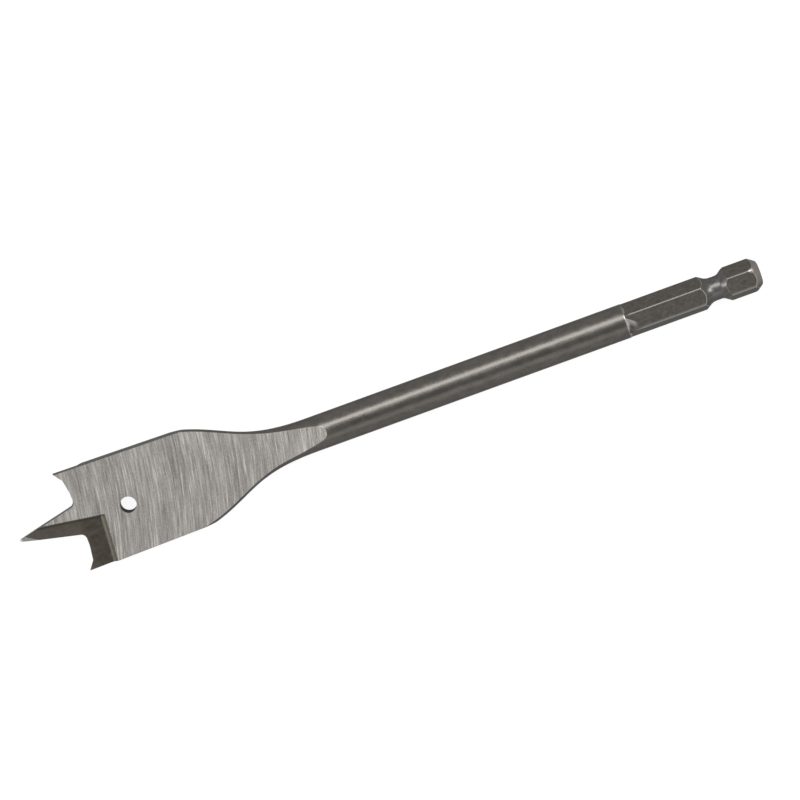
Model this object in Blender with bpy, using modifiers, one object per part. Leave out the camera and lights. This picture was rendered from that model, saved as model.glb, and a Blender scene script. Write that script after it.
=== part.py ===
# Spade drill bit, forged and ground from one bar, for a 22 mm hole.
# Bit frame: X runs along the axis from the point of the spike towards the shank end,
# Y across the blade, Z through its thickness. Every outline is drawn in that frame, and
# an empty then lays the bit down as it rests: on its round shank and on one edge of the
# blade.

import bpy
import bmesh
from math import asin, atan2, ceil, cos, hypot, pi, radians, sin, sqrt, tan
from mathutils import Matrix, Vector
from mathutils.geometry import interpolate_bezier

# Overall
BIT_LENGTH = 0.1600              # point of the spike to the end of the shank
CUT_WIDTH = 0.0215               # across the points of the two spurs
BLADE_THICKNESS = 0.0026
SIDE_TAPER = 1.10                # degrees: each side of the blade narrows towards the shank
SIDE_RELIEF = 3.0                # degrees: each side falls back behind its leading face
SHANK_DIAMETER = 0.0072

# Cutting end, as drawn on the leading face of each half
SPIKE_ANGLE = 26.1               # degrees between the two sides of the spike
SPIKE_FLAT = 0.0005              # blunt width at the point
SPIKE_LENGTH = 0.0130            # point of the spike to the deepest part of the cutting edges
SPIKE_FILLET = 0.0012            # radius where the spike meets the cutting edge
EDGE_CROWN_OFFSET = 0.0057       # from the axis to the deepest part of a cutting edge
EDGE_CROWN_RADIUS = 0.0060
SPUR_WIDTH = 0.00185             # from the blade's side to where an edge turns up
SPUR_FOOT_RISE = 0.0005          # height of that turn over the deepest part of the edge
SPUR_FOOT_RADIUS = 0.0010
SPUR_HEIGHT = 0.00188            # point of a spur over the deepest part of the edge
EDGE_RELIEF = 12.0               # degrees: the end faces fall back behind the cutting edges

# Hollow that gives each cutting edge its hook
RECESS_DEPTH = 0.00085
RECESS_LENGTH = 0.0184           # point of the spike to the lip of the hollow's end wall
RECESS_SIDE_OFFSET = 0.00076     # the hollow's inner corner lies this far from the axis
RECESS_SIDE_ANGLE = 8.5          # degrees: its inner side crosses the spike at this angle
RECESS_WALL_RUN = 0.0011         # the sloping end wall is this long, seen from above
RECESS_WALL_LEAN = 5.6           # degrees: the end wall leans towards the spur

# Small facets ground on the point: a long one on each leading edge, a short one across it
FACET_START = 0.0020             # where the facet's inner line crosses the axis
FACET_HEADING = 32.0             # degrees from the axis
FACET_TILT = 10.0                # degrees down from the hollow's floor
POINT_FACET_START = 0.00075
POINT_FACET_HEADING = 70.0
POINT_FACET_TILT = 30.0

# Hanging hole
HOLE_DIAMETER = 0.0034
HOLE_DISTANCE = 0.0236           # point of the spike to the hole's centre
HOLE_SIDE_OFFSET = 0.00035       # the hole sits this far off the axis

# Neck: forged sides that swing in from the blade to the shank
NECK_START = 0.0383
NECK_END = 0.0633
NECK_START_ANGLE = 15.2          # degrees from the axis where the neck leaves the blade
NECK_START_PULL = 0.0093         # length of the bend next to the blade
NECK_END_PULL = 0.0135           # length of the bend next to the shank
FORGED_OVERHANG = 0.0003         # forged side over the trimmed side where the neck starts
SIDE_RADIUS = 0.0021             # rounding of the forged sides next to the blade
SIDE_CROWN_OFFSET = 0.0003       # each side's crown sits this far behind the middle plane

# Ground faces that climb out of the blade and run out on the shank
RAMP_START = 0.0512
RAMP_ANGLE = 7.8                 # degrees
RAMP_BEND_RADIUS = 0.0300        # grinding radius between the blade's face and the ramp
RUN_OUT_START = 0.0656
RUN_OUT_RADIUS = 0.0065          # the faces end blunt, on this radius
RAMP_LEAN = 6.0                  # degrees: the faces lean a little where they run out

# Hex shank with its power groove
HEX_ACROSS_FLATS = 0.00635
HEX_ACROSS_CORNERS = 0.0072      # the corners are rounded, because they are left from the bar
HEX_TURN = 3.0                   # degrees between the hex corners and the blade
HEX_LENGTH = 0.0287              # shoulder to the end of the shank
SHOULDER_ANGLE = 45.0            # degrees
GROOVE_DIAMETER = 0.0049
GROOVE_DISTANCE = 0.00963        # shank end to the middle of the groove
GROOVE_FLOOR = 0.0023            # length of the groove's floor between its flanks
GROOVE_FLANK_ANGLE = 35.0        # degrees
GROOVE_FILLET = 0.0026           # on the side of the blade, and half of it on the other
END_FACE_DIAMETER = 0.0047
END_CHAMFER_ANGLE = 36.0         # degrees
END_ROUNDING = 0.0009

# Narrow flat along the underside of the shank, so that the bit lies still
REST_FLAT_WIDTH = 0.0024

# Smoothness of the solid
ROUND_SEGMENTS = 48              # around the shank, a multiple of 4
CUTTER_SEGMENTS = 48             # around the round cutters
NECK_STATIONS = 36
RUN_OUT_STATIONS = 10
ARC_STEP = 12.0                  # degrees between points on a small arc
BLANK_MARGIN = 0.0015            # forging stock outside the blade, removed by trimming
CUT_MARGIN = 0.0020              # how far a cutter stands clear of what it cuts
WELD_DISTANCE = 1e-7
RING_WELD_DISTANCE = 5e-6        # where the turned shank's ring meets the forging's
SHARP_ANGLE = 20.0               # degrees: edges that turn more than this stay sharp

SHANK_RADIUS = SHANK_DIAMETER / 2
HALF_THICKNESS = BLADE_THICKNESS / 2
HALF_CUT = CUT_WIDTH / 2
HEX_START = BIT_LENGTH - HEX_LENGTH
HEX_CORNER_RADIUS = HEX_ACROSS_CORNERS / 2
SPUR_TIP = SPIKE_LENGTH - SPUR_HEIGHT
SPUR_FOOT_OFFSET = HALF_CUT - SPUR_WIDTH
LEADING_FACE = HALF_THICKNESS - RECESS_DEPTH     # height of each cutting edge

STEEL_COLOUR = (0.20, 0.19, 0.18, 1.0)
STEEL_ROUGHNESS = 0.38


def clear_scene():
    for old in list(bpy.data.objects):
        bpy.data.objects.remove(old, do_unlink=True)


def new_collection(name):
    collection = bpy.data.collections.new(name)
    bpy.context.scene.collection.children.link(collection)
    return collection


def steel_material():
    material = bpy.data.materials.new("forged_steel")
    material.use_nodes = True
    shader = material.node_tree.nodes["Principled BSDF"]
    shader.inputs["Base Color"].default_value = STEEL_COLOUR
    shader.inputs["Roughness"].default_value = STEEL_ROUGHNESS
    shader.inputs["Metallic"].default_value = 1.0
    return material


def mesh_object(name, bm, collection):
    mesh = bpy.data.meshes.new(name)
    bm.to_mesh(mesh)
    bm.free()
    made = bpy.data.objects.new(name, mesh)
    collection.objects.link(made)
    return made


def make_cutter(made):
    made.hide_render = True
    made.display_type = "WIRE"
    return made


def rounded_outline(corners):
    """Corners are (a, b, radius). Each corner with a radius becomes a tangent arc."""
    points = []
    for index, (a, b, radius) in enumerate(corners):
        here = Vector((a, b))
        if radius == 0 or index in (0, len(corners) - 1):
            points.append(here)
            continue
        before = (Vector(corners[index - 1][:2]) - here).normalized()
        after = (Vector(corners[index + 1][:2]) - here).normalized()
        turn = pi - before.angle(after)
        reach = radius * tan(turn / 2)
        middle = here + (before + after).normalized() * (radius / cos(turn / 2))
        start = here + before * reach - middle
        side = 1 if before.x * after.y - before.y * after.x < 0 else -1
        count = max(2, ceil(turn / radians(ARC_STEP)))
        for step in range(count + 1):
            swing = side * turn * step / count
            points.append(middle + Matrix.Rotation(swing, 2) @ start)
    return points


def axis_height():
    """Height of the bit's axis over what it lies on."""
    half_flat = min(REST_FLAT_WIDTH / 2, SHANK_RADIUS)
    return sqrt(SHANK_RADIUS * SHANK_RADIUS - half_flat * half_flat)


def resting_roll():
    """Turn about the axis at which the shank and one edge of the blade share a floor."""
    edge = HALF_CUT - (HALF_THICKNESS + LEADING_FACE) * tan(radians(SIDE_RELIEF))
    reach = hypot(edge, HALF_THICKNESS)
    return asin(min(axis_height() / reach, 1)) - atan2(HALF_THICKNESS, edge)


def smooth_step(value):
    value = min(max(value, 0), 1)
    return value * value * (3 - 2 * value)


def trimmed_half_width(x):
    return HALF_CUT - (x - SPUR_TIP) * tan(radians(SIDE_TAPER))


def neck_outline():
    """Points (x, half width) of the forged side, from the blade's stock to the shank."""
    start = Vector((NECK_START, trimmed_half_width(NECK_START) + FORGED_OVERHANG))
    end = Vector((NECK_END, SHANK_RADIUS))
    slope = tan(radians(NECK_START_ANGLE))
    leave = start + NECK_START_PULL * Vector((1, -slope))
    arrive = end - Vector((NECK_END_PULL, 0))
    curve = interpolate_bezier(start, leave, arrive, end, NECK_STATIONS)
    stock = HALF_CUT + BLANK_MARGIN
    widest = Vector((NECK_START - (stock - start.y) / slope, stock))
    return [Vector((0, stock)), widest] + [point.xy for point in curve]


def ground_profile():
    """Points (x, half thickness) of the ground face, up to where it leaves the shank."""
    slope = tan(radians(RAMP_ANGLE))
    top = HALF_THICKNESS + (RUN_OUT_START - RAMP_START) * slope
    bend = rounded_outline([
        (0, HALF_THICKNESS, 0),
        (RAMP_START, HALF_THICKNESS, RAMP_BEND_RADIUS),
        (RUN_OUT_START, top, 0),
    ])
    # The run-out is an arc that starts along the ramp and rises until it clears the shank.
    centre = Vector((
        RUN_OUT_START - RUN_OUT_RADIUS * sin(radians(RAMP_ANGLE)),
        top + RUN_OUT_RADIUS * cos(radians(RAMP_ANGLE)),
    ))
    rise = min(max((centre.y - SHANK_RADIUS) / RUN_OUT_RADIUS, 0), 1)
    finish = max(asin(sqrt(1 - rise * rise)), radians(RAMP_ANGLE))
    for step in range(1, RUN_OUT_STATIONS + 1):
        angle = radians(RAMP_ANGLE) + (finish - radians(RAMP_ANGLE)) * step / RUN_OUT_STATIONS
        bend.append(centre + RUN_OUT_RADIUS * Vector((sin(angle), -cos(angle))))
    return bend


def height_at(points, x):
    for first, second in zip(points, points[1:]):
        if first.x <= x <= second.x:
            share = (x - first.x) / (second.x - first.x)
            return first.y + (second.y - first.y) * share
    return points[-1].y


def section(x, half_width, half_thickness):
    """One section of the forging: a bar with round sides, ground flat on both faces."""
    blend = smooth_step((x - RAMP_START + CUT_MARGIN) / (NECK_END - RAMP_START))
    radius = min(SIDE_RADIUS + (SHANK_RADIUS - SIDE_RADIUS) * blend, half_width)
    centre_y = half_width - radius
    centre_z = SIDE_CROWN_OFFSET * (1 - blend)
    lean = -radians(RAMP_LEAN) * blend
    shift = centre_y * sin(lean) - centre_z * cos(lean)
    front = lean + asin(min((half_thickness + shift) / radius, 1))
    back = lean - asin(min((half_thickness - shift) / radius, 1))
    if half_thickness >= SHANK_RADIUS - WELD_DISTANCE:
        front, back = pi / 2, -pi / 2
    steps = ROUND_SEGMENTS // 2
    side = []
    for step in range(steps + 1):
        angle = back + (front - back) * step / steps
        side.append(Vector((x, centre_y + radius * cos(angle), centre_z + radius * sin(angle))))
    return side + [Vector((x, -point.y, -point.z)) for point in side]


def forging_stations(neck, ground):
    stations = {point.x for point in neck} | {point.x for point in ground}
    last = max(max(stations), NECK_END) + CUT_MARGIN
    return sorted(stations) + [last]


def loft_forging(bm, neck, ground, stations):
    """Blade stock and neck as a loft, open at its round end."""
    rings = []
    for x in stations:
        thickness = SHANK_RADIUS if x > ground[-1].x else height_at(ground, x)
        points = section(x, height_at(neck, x), min(thickness, SHANK_RADIUS))
        rings.append([bm.verts.new(point) for point in points])
    for near, far in zip(rings, rings[1:]):
        for index in range(len(near)):
            following = (index + 1) % len(near)
            bm.faces.new((near[index], near[following], far[following], far[index]))
    bm.faces.new(reversed(rings[0]))


def shank_profile(start):
    """Half section (radius, x) of the turned shank, from its end face down to the neck."""
    groove_radius = GROOVE_DIAMETER / 2
    flank = (HEX_CORNER_RADIUS - groove_radius) / tan(radians(GROOVE_FLANK_ANGLE))
    middle = BIT_LENGTH - GROOVE_DISTANCE
    end_radius = END_FACE_DIAMETER / 2
    chamfer = (HEX_CORNER_RADIUS - end_radius) / tan(radians(END_CHAMFER_ANGLE))
    return rounded_outline([
        (0, BIT_LENGTH, 0),
        (end_radius, BIT_LENGTH, END_ROUNDING),
        (HEX_CORNER_RADIUS, BIT_LENGTH - chamfer, 0),
        (HEX_CORNER_RADIUS, middle + GROOVE_FLOOR / 2 + flank, 0),
        (groove_radius, middle + GROOVE_FLOOR / 2, GROOVE_FILLET / 2),
        (groove_radius, middle - GROOVE_FLOOR / 2, GROOVE_FILLET),
        (HEX_CORNER_RADIUS, middle - GROOVE_FLOOR / 2 - flank, 0),
        (HEX_CORNER_RADIUS, HEX_START, 0),
        (SHANK_RADIUS, HEX_START, 0),
        (SHANK_RADIUS, start, 0),
    ])


def turned(name, profile, collection):
    """Turns a (radius, x) half section about the X axis."""
    bm = bmesh.new()
    verts = [bm.verts.new((radius, 0, x)) for radius, x in profile]
    for first, second in zip(verts, verts[1:]):
        if (first.co - second.co).length > WELD_DISTANCE:
            bm.edges.new((first, second))
    bmesh.ops.remove_doubles(bm, verts=bm.verts, dist=WELD_DISTANCE)
    made = mesh_object(name, bm, collection)
    screw = made.modifiers.new("turning", "SCREW")
    screw.axis = "Z"
    screw.steps = ROUND_SEGMENTS
    screw.render_steps = ROUND_SEGMENTS
    screw.use_merge_vertices = True
    screw.merge_threshold = WELD_DISTANCE
    made.rotation_euler = (0, pi / 2, 0)
    return made


def evaluated_mesh(made):
    bpy.context.view_layer.update()
    graph = bpy.context.evaluated_depsgraph_get()
    mesh = bpy.data.meshes.new_from_object(made.evaluated_get(graph))
    mesh.transform(made.matrix_world)
    bpy.data.objects.remove(made, do_unlink=True)
    return mesh


def make_blank(collection):
    """The forging and its turned shank, welded along the ring where they meet."""
    neck = neck_outline()
    ground = ground_profile()
    stations = forging_stations(neck, ground)
    bm = bmesh.new()
    loft_forging(bm, neck, ground, stations)
    shank = evaluated_mesh(turned("turned_shank", shank_profile(stations[-1]), collection))
    bm.from_mesh(shank)
    bpy.data.meshes.remove(shank)
    bmesh.ops.remove_doubles(bm, verts=bm.verts, dist=RING_WELD_DISTANCE)
    bmesh.ops.recalc_face_normals(bm, faces=bm.faces)
    blank = mesh_object("spade_bit", bm, collection)
    blank.data.materials.append(steel_material())
    return blank


def cylinder(name, collection, centre, radius, length, axis_turn=(0, 0, 0), far_radius=None,
             sides=CUTTER_SEGMENTS):
    bpy.ops.mesh.primitive_cone_add(
        vertices=sides, radius1=radius, radius2=radius if far_radius is None else far_radius,
        depth=length, location=centre, rotation=axis_turn)
    made = bpy.context.active_object
    made.name = name
    for owner in list(made.users_collection):
        owner.objects.unlink(made)
    collection.objects.link(made)
    return made


def cut_away(target, tool):
    cut = target.modifiers.new(tool.name, "BOOLEAN")
    cut.operation = "DIFFERENCE"
    cut.solver = "EXACT"
    cut.object = tool


def make_hex_sleeve(cutters):
    """A round sleeve with a hexagonal bore: what milling the hex takes off the shank."""
    along_x = (0, pi / 2, 0)
    widest = max(SHANK_RADIUS, HEX_CORNER_RADIUS)
    slope = tan(radians(SHOULDER_ANGLE))
    start = HEX_START - CUT_MARGIN / slope
    end = BIT_LENGTH + CUT_MARGIN
    sleeve = cylinder("hex_sleeve", cutters, ((start + end) / 2, 0, 0), 2 * widest,
                      end - start, along_x)
    core = cylinder("hex_core", cutters, ((start + end) / 2, 0, 0),
                    HEX_ACROSS_FLATS / sqrt(3), end - start + 4 * CUT_MARGIN, along_x, sides=6)
    # The cone opens towards the blade, ahead of the sleeve's own end, and meets the shank's
    # surface where the hex starts.
    mouth = widest + 2 * CUT_MARGIN
    cone_length = mouth / slope
    cone_middle = HEX_START - 2 * CUT_MARGIN / slope + cone_length / 2
    cone = cylinder("shoulder_cone", cutters, (cone_middle, 0, 0), mouth, cone_length, along_x,
                    far_radius=0)
    # Laid along X, the hexagon has a corner on the Y axis, in line with the blade.
    core.rotation_euler = (Matrix.Rotation(radians(HEX_TURN), 3, "X")
                           @ Matrix.Rotation(pi / 2, 3, "Y")).to_euler()
    for tool in (core, cone):
        cut_away(sleeve, make_cutter(tool))
    return make_cutter(sleeve)


def flat_cutter(name, outline, cutters, thickness):
    """A flat outline as a filled curve with an extrusion, turned into a welded mesh."""
    curve = bpy.data.curves.new(name, "CURVE")
    curve.dimensions = "2D"
    curve.fill_mode = "BOTH"
    curve.extrude = thickness / 2
    spline = curve.splines.new("POLY")
    spline.points.add(len(outline) - 1)
    for point, place in zip(spline.points, outline):
        point.co = (place[0], place[1], 0, 1)
    spline.use_cyclic_u = True
    drawn = bpy.data.objects.new(name + "_outline", curve)
    cutters.objects.link(drawn)
    mesh = evaluated_mesh(drawn)
    bm = bmesh.new()
    bm.from_mesh(mesh)
    bpy.data.meshes.remove(mesh)
    bmesh.ops.remove_doubles(bm, verts=bm.verts, dist=WELD_DISTANCE)
    return make_cutter(mesh_object(name, bm, cutters))


def turned_half_over(made, name, cutters):
    """The same cutter for the other half: the bit looks alike after half a turn."""
    twin = bpy.data.objects.new(name, made.data)
    twin.matrix_world = Matrix.Rotation(pi, 4, "X") @ made.matrix_basis
    cutters.objects.link(twin)
    return make_cutter(twin)


def end_outline():
    """Outside the spike, the cutting edge and the spur of the half at -Y."""
    slope = tan(radians(SPIKE_ANGLE / 2))
    spike_half = SPIKE_FLAT / 2
    foot_x = SPIKE_LENGTH - SPUR_FOOT_RISE
    flank = (foot_x - SPUR_TIP) / SPUR_WIDTH
    outside = HALF_CUT + BLANK_MARGIN + CUT_MARGIN
    beyond = SPUR_TIP - flank * (outside - HALF_CUT)
    corners = [
        (-CUT_MARGIN, slope * CUT_MARGIN - spike_half, 0),
        (SPIKE_LENGTH, -(spike_half + slope * SPIKE_LENGTH), SPIKE_FILLET),
        (SPIKE_LENGTH, -EDGE_CROWN_OFFSET, EDGE_CROWN_RADIUS),
        (foot_x, -SPUR_FOOT_OFFSET, SPUR_FOOT_RADIUS),
        (beyond, -outside, 0),
        (-CUT_MARGIN, -outside, 0),
    ]
    return [tuple(point) for point in rounded_outline(corners)]


def make_end_cutters(cutters):
    """The leading face of this half is at +Z, and the cut slants back from it."""
    made = flat_cutter("end_cut_front", end_outline(), cutters,
                       BLADE_THICKNESS + 2 * CUT_MARGIN)
    slant = Matrix.Identity(4)
    slant[0][2] = -tan(radians(EDGE_RELIEF))
    slant[0][3] = tan(radians(EDGE_RELIEF)) * LEADING_FACE
    made.data.transform(slant)
    return [made, turned_half_over(made, "end_cut_back", cutters)]


def make_side_cutters(cutters):
    """Stock outside the blade's tapering sides, which slant back like the end."""
    outside = HALF_CUT + BLANK_MARGIN + CUT_MARGIN
    far = NECK_START + (NECK_END - NECK_START) / 4
    outline = [
        (-CUT_MARGIN, -outside),
        (far, -outside),
        (far, -trimmed_half_width(far)),
        (-CUT_MARGIN, -trimmed_half_width(-CUT_MARGIN)),
    ]
    made = flat_cutter("side_trim_front", outline, cutters, SHANK_DIAMETER + 2 * CUT_MARGIN)
    slant = Matrix.Identity(4)
    slant[1][2] = -tan(radians(SIDE_RELIEF))
    slant[1][3] = tan(radians(SIDE_RELIEF)) * LEADING_FACE
    made.data.transform(slant)
    return [made, turned_half_over(made, "side_trim_back", cutters)]


def recess_side(x):
    """Y of the hollow's inner side, which crosses the spike at a small angle."""
    return (RECESS_LENGTH - x) * tan(radians(RECESS_SIDE_ANGLE)) - RECESS_SIDE_OFFSET


def make_recess_cutters(cutters):
    """A block with a sloping end wall, each corner put where the hollow's walls meet."""
    above = HALF_THICKNESS + CUT_MARGIN
    slope = RECESS_WALL_RUN / RECESS_DEPTH
    outside = -(HALF_CUT + CUT_MARGIN)
    bm = bmesh.new()
    bmesh.ops.create_cube(bm, size=2)
    for corner in bm.verts:
        sign = corner.co.copy()
        z = above if sign.z > 0 else LEADING_FACE
        if sign.x < 0:
            x = -CUT_MARGIN
            y = recess_side(x) if sign.y > 0 else outside
        else:
            x = RECESS_LENGTH + (z - HALF_THICKNESS) * slope
            y = recess_side(RECESS_LENGTH) if sign.y > 0 else outside
            x += (y - recess_side(RECESS_LENGTH)) * tan(radians(RECESS_WALL_LEAN))
            y = recess_side(x) if sign.y > 0 else outside
        corner.co = (x, y, z)
    bmesh.ops.triangulate(bm, faces=bm.faces)
    made = make_cutter(mesh_object("recess_front", bm, cutters))
    return [made, turned_half_over(made, "recess_back", cutters)]


def make_facet_cutters(cutters, name, start, heading, tilt):
    """A block on the outer side of a facet's inner line, whose underside is the facet."""
    size = SPIKE_LENGTH / 2
    place = Matrix.Translation((start, 0, LEADING_FACE))
    headed = Matrix.Rotation(-radians(heading), 4, "Z")
    tilted = Matrix.Rotation(radians(tilt), 4, "X")
    bm = bmesh.new()
    bmesh.ops.create_cube(bm, size=2 * size)
    bmesh.ops.translate(bm, verts=bm.verts, vec=(0, CUT_MARGIN - size, size))
    bm.transform(place @ headed @ tilted)
    made = make_cutter(mesh_object(name + "_front", bm, cutters))
    return [made, turned_half_over(made, name + "_back", cutters)]


def make_hole_cutter(cutters):
    made = cylinder("hang_hole", cutters, (HOLE_DISTANCE, -HOLE_SIDE_OFFSET, 0),
                    HOLE_DIAMETER / 2, BLADE_THICKNESS + 2 * CUT_MARGIN)
    return make_cutter(made)


def make_rest_cutter(cutters):
    """A thin block under the shank, level with what the bit lies on."""
    start = SPIKE_LENGTH / 2
    end = BIT_LENGTH + CUT_MARGIN
    size = Matrix.Diagonal((end - start, 2 * SHANK_DIAMETER, 2 * CUT_MARGIN, 1))
    under = Matrix.Translation(((start + end) / 2, 0, -axis_height() - CUT_MARGIN))
    bm = bmesh.new()
    bmesh.ops.create_cube(bm, size=1)
    bm.transform(Matrix.Rotation(-resting_roll(), 4, "X") @ under @ size)
    return make_cutter(mesh_object("rest_flat", bm, cutters))


def main():
    clear_scene()
    parts = new_collection("spade_drill_bit")
    cutters = new_collection("cutters")
    bit = make_blank(parts)
    tools = [make_rest_cutter(cutters)]
    tools += make_side_cutters(cutters)
    tools += make_end_cutters(cutters)
    tools += make_recess_cutters(cutters)
    tools += make_facet_cutters(cutters, "facet", FACET_START, FACET_HEADING, FACET_TILT)
    tools += make_facet_cutters(cutters, "point_facet", POINT_FACET_START,
                                POINT_FACET_HEADING, POINT_FACET_TILT)
    tools += [make_hole_cutter(cutters), make_hex_sleeve(cutters)]
    for tool in tools:
        cut_away(bit, tool)
    bit.data.shade_smooth()
    bit.data.set_sharp_from_angle(angle=radians(SHARP_ANGLE))

    lying = bpy.data.objects.new("lying_bit", None)
    lying.location = (-BIT_LENGTH / 2, 0, axis_height())
    lying.rotation_euler = (resting_roll(), 0, 0)
    parts.objects.link(lying)
    for made in list(parts.objects) + list(cutters.objects):
        if made is not lying:
            made.parent = lying


main()
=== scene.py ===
from math import asin, atan2, ceil, cos, hypot, pi, radians, sin, sqrt, tan

import bmesh
import bpy
from mathutils import Matrix, Vector
from mathutils.geometry import interpolate_bezier


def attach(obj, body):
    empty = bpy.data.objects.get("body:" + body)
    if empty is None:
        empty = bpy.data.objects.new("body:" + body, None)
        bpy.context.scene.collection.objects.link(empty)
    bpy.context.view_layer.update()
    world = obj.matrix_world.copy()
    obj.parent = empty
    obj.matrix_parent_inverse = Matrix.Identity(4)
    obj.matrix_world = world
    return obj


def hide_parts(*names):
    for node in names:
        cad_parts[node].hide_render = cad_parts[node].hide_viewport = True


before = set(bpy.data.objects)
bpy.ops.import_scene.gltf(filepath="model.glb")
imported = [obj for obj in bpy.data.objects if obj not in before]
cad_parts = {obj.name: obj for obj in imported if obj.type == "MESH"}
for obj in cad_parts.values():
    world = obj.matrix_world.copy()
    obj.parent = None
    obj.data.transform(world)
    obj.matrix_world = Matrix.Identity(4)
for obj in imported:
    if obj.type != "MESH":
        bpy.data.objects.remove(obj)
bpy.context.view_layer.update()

weld, mergeDistance = 1e-7, 1e-6

# Everything on the bit is laid out along its axis: x from the point of the spike to the shank
# end, y across the blade, z through its thickness. Lengths in metres, angles in degrees.
bit = {
    "length": 0.1600, "cutWidth": 0.0215, "thickness": 0.0026, "sideTaper": 1.10,
    "sideRelief": 3.0,  # the blade's sides fall back behind the leading faces
    "shankDiameter": 0.0072, "restFlat": 0.0024,
    "neckStart": 0.0383, "neckEnd": 0.0633, "neckAngle": 15.2, "neckStartPull": 0.0093,
    "neckEndPull": 0.0135, "forgedOverhang": 0.0003, "sideRadius": 0.0021, "crownOffset": 0.0003,
    "rampStart": 0.0512, "rampAngle": 7.8, "rampBend": 0.0300, "rampLead": 0.0020,
    "runOutStart": 0.0656, "runOutRadius": 0.0065, "rampLean": 6.0,
    "hexLength": 0.0287, "hexFlats": 0.00635, "hexCorners": 0.0072, "hexTurn": 3.0, "shoulder": 45.0,
    "grooveDiameter": 0.0049, "grooveAt": 0.00963, "grooveFloor": 0.0023, "grooveFlank": 35.0,
    "grooveFillet": 0.0026, "endFace": 0.0047, "endChamfer": 36.0, "endRounding": 0.0009,
    "turnedBelow": 0.00002,  # a face this far under the hex's corners is turned
    "sidePoints": 48, "neckStations": 60, "runOutStations": 16, "arcStep": 5.0,
    "sleeveSides": 96, "shoulderSides": 192, "sharpAngle": 20.0,
}
spike = {
    "angle": 26.1, "blunt": 0.0005, "length": 0.0130, "fillet": 0.0012, "crownAt": 0.0057,
    "crownRadius": 0.0060, "spurWidth": 0.00185, "spurRise": 0.0005, "spurFoot": 0.0010,
    "spurHeight": 0.00188, "relief": 12.0,
    "facet": (0.0020, 32.0, 10.0), "pointFacet": (0.00075, 70.0, 30.0),
}
hollow = {
    "depth": 0.00085, "length": 0.0184, "sideOffset": 0.00076, "sideAngle": 8.5,
    "wallRun": 0.0011, "wallLean": 5.6,
}
hangHole = {"diameter": 0.0034, "distance": 0.0236, "offset": 0.00035, "sides": 96}
margin = 0.0020  # how far a cutting block stands clear of the steel
stockMargin = 0.0015  # how much wider than the cut the blank starts

shankRadius = bit["shankDiameter"] / 2
halfThickness = bit["thickness"] / 2
halfCut = bit["cutWidth"] / 2
hexStart = bit["length"] - bit["hexLength"]
spurTip = spike["length"] - spike["spurHeight"]
leadingFace = halfThickness - hollow["depth"]
lowerEdge = halfCut - (halfThickness + leadingFace) * tan(radians(bit["sideRelief"]))
axisHeight = sqrt(shankRadius ** 2 - (bit["restFlat"] / 2) ** 2)
restingRoll = asin(axisHeight / hypot(lowerEdge, halfThickness)) - atan2(halfThickness, lowerEdge)
layDown = Matrix.Translation((-bit["length"] / 2, 0, axisHeight)) @ Matrix.Rotation(restingRoll, 4, "X")


# node helpers: a value may be a number, a vector or a socket

def plug(tree, socket, value):
    if isinstance(value, bpy.types.NodeSocket):
        tree.links.new(value, socket)
    elif value is not None:
        socket.default_value = value


def addNode(tree, kind, inputs=None, **settings):
    made = tree.nodes.new(kind)
    for key, value in settings.items():
        setattr(made, key, value)
    for key, value in (inputs or {}).items():
        plug(tree, made.inputs[key], value)
    return made


def calc(tree, operation, *values):
    made = addNode(tree, "ShaderNodeMath", operation=operation)
    for socket, value in zip(made.inputs, values):
        plug(tree, socket, value)
    return made.outputs[0]


def rangeOf(tree, value, low, high, toLow=0.0, toHigh=1.0, smooth=False):
    made = addNode(tree, "ShaderNodeMapRange", {
        "Value": value, "From Min": low, "From Max": high, "To Min": toLow, "To Max": toHigh})
    if smooth:
        made.interpolation_type = "SMOOTHSTEP"
    return made.outputs["Result"]


def blendColour(tree, share, first, second):
    made = addNode(tree, "ShaderNodeMix", data_type="RGBA")
    for socket, value in zip((made.inputs[0], made.inputs[6], made.inputs[7]), (share, first, second)):
        plug(tree, socket, value)
    return made.outputs[2]


# the blank is one bar whose section runs from the flat blade to the round shank

def smoothStep(value):
    value = min(max(value, 0), 1)
    return value * value * (3 - 2 * value)


def roundedOutline(corners):
    # corners are (a, b, radius); a corner with a radius becomes a tangent arc
    points = []
    for index, (a, b, radius) in enumerate(corners):
        here = Vector((a, b))
        if radius == 0 or index in (0, len(corners) - 1):
            points.append(here)
            continue
        before = (Vector(corners[index - 1][:2]) - here).normalized()
        after = (Vector(corners[index + 1][:2]) - here).normalized()
        turn = pi - before.angle(after)
        middle = here + (before + after).normalized() * (radius / cos(turn / 2))
        start = here + before * radius * tan(turn / 2) - middle
        side = 1 if before.x * after.y - before.y * after.x < 0 else -1
        count = max(3, ceil(turn / radians(bit["arcStep"])))
        for step in range(count + 1):
            points.append(middle + Matrix.Rotation(side * turn * step / count, 2) @ start)
    return points


def trimmedHalfWidth(x):
    return halfCut - (x - spurTip) * tan(radians(bit["sideTaper"]))


def neckOutline():
    start = Vector((bit["neckStart"], trimmedHalfWidth(bit["neckStart"]) + bit["forgedOverhang"]))
    end = Vector((bit["neckEnd"], shankRadius))
    slope = tan(radians(bit["neckAngle"]))
    leave = start + bit["neckStartPull"] * Vector((1, -slope))
    arrive = end - Vector((bit["neckEndPull"], 0))
    curve = interpolate_bezier(start, leave, arrive, end, bit["neckStations"])
    stock = halfCut + stockMargin
    widest = Vector((bit["neckStart"] - (stock - start.y) / slope, stock))
    return [Vector((0, stock)), widest] + [point.xy for point in curve]


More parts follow.
